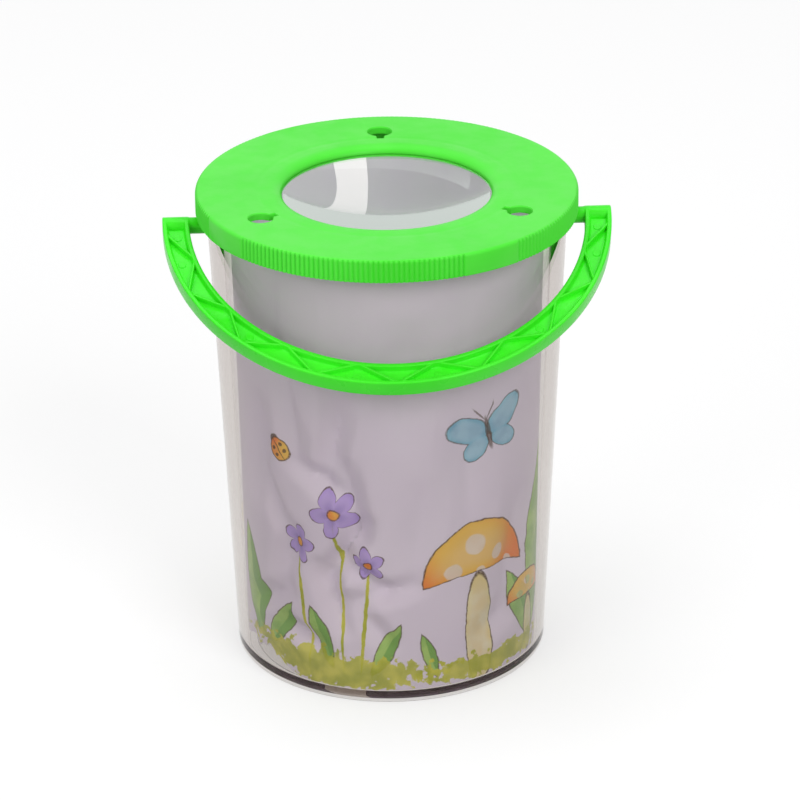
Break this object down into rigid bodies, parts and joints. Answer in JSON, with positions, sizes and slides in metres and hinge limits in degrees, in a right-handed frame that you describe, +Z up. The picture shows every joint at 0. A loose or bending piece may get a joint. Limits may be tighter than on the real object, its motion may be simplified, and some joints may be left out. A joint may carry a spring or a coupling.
{
  "type": "bug catcher jar",
  "caption": "Clear tapered viewing jar with a push-on ribbed lid holding a round magnifying lens and air vents, a hinged hoop handle and a printed paper insert.",
  "frame": {"origin": "middle of the jar's underside, on the surface that it stands on", "axes": "+Z up along the jar's axis, -Y towards the side where the handle hangs, X along the handle's pivot axis"},
  "size_m": [0.108, 0.0961, 0.1204],
  "materials": {
    "clear_jar": "clear polished moulding",
    "green_lid": "satin moulded plastic",
    "clear_lens": "clear polished lens",
    "green_handle": "half gloss moulded plastic",
    "printed_paper": "uncoated printed paper, a little creased"
  },
  "bodies": {
    "jar": {"jar": "clear_jar", "paper_insert": "printed_paper"},
    "lid": {"lid": "green_lid", "lens": "clear_lens", "lens_retaining_ring": "green_lid"},
    "handle": {"handle": "green_handle"}
  },
  "joints": [
    {"name": "lid_lift", "type": "slide", "parent": "jar", "child": "lid", "axis": [0, 0, 1], "range_m": [0, 0.025]},
    {"name": "handle_swing", "type": "hinge", "parent": "jar", "child": "handle", "pos_m": [0, 0, 0.1115], "axis": [-1, 0, 0], "range_deg": [0, 228.7]}
  ]
}
